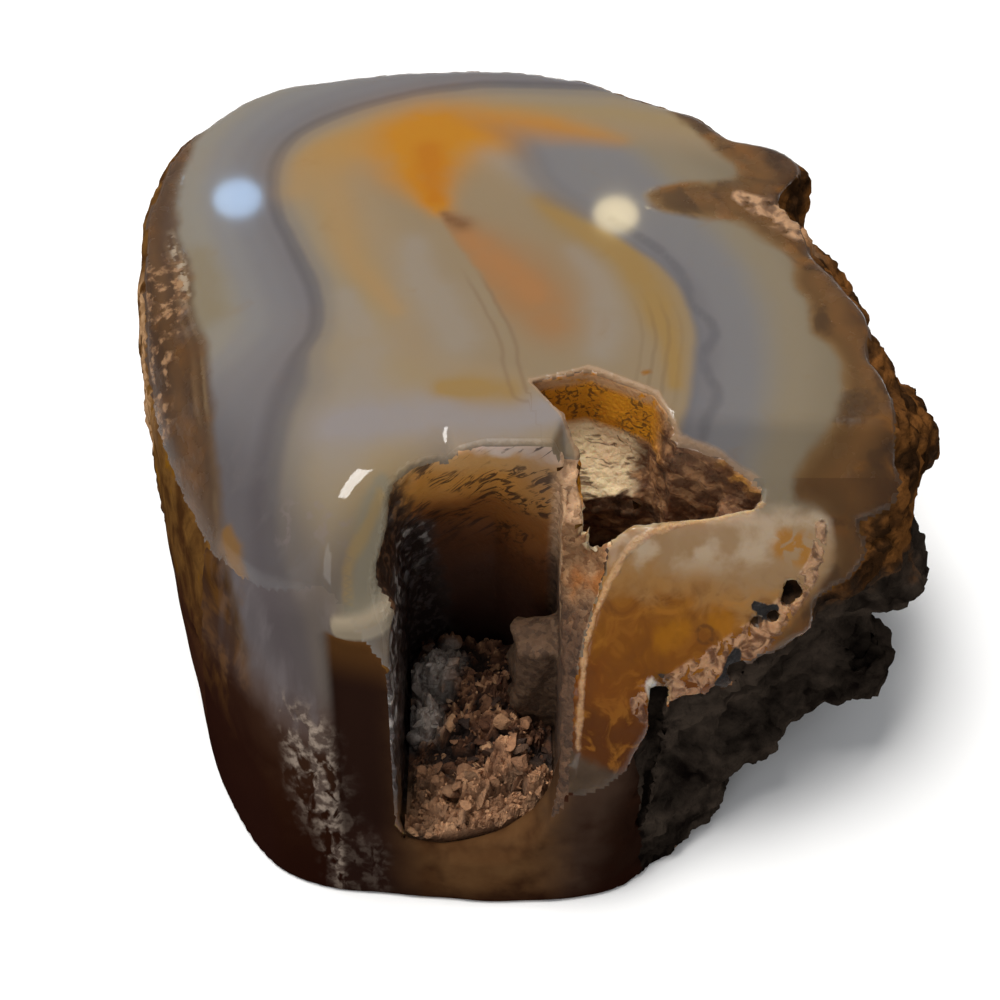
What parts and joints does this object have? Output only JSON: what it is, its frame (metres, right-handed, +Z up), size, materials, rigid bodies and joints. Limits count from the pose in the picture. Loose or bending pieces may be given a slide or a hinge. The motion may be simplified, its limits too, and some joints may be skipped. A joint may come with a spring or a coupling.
{
  "type": "thick agate slice",
  "caption": "Thick polished agate with a flat sawn base, a banded glossy top, an open hollow in front with a crumbly crust on its floor, and a rough brown rind round the sides.",
  "frame": {"origin": "under the middle of the stone's box, on the flat base it rests on", "axes": "+Z up, square to the sawn base; -Y towards the open hollow in the front; +X towards the rough right side"},
  "size_m": [0.098, 0.1008, 0.05],
  "materials": {
    "agate": "polished on top, matt rough rind on the sides",
    "mineral_crust": "matt, crumbly"
  },
  "bodies": {
    "root": {"agate_body": "agate", "hollow_crust": "mineral_crust"}
  },
  "joints": []
}
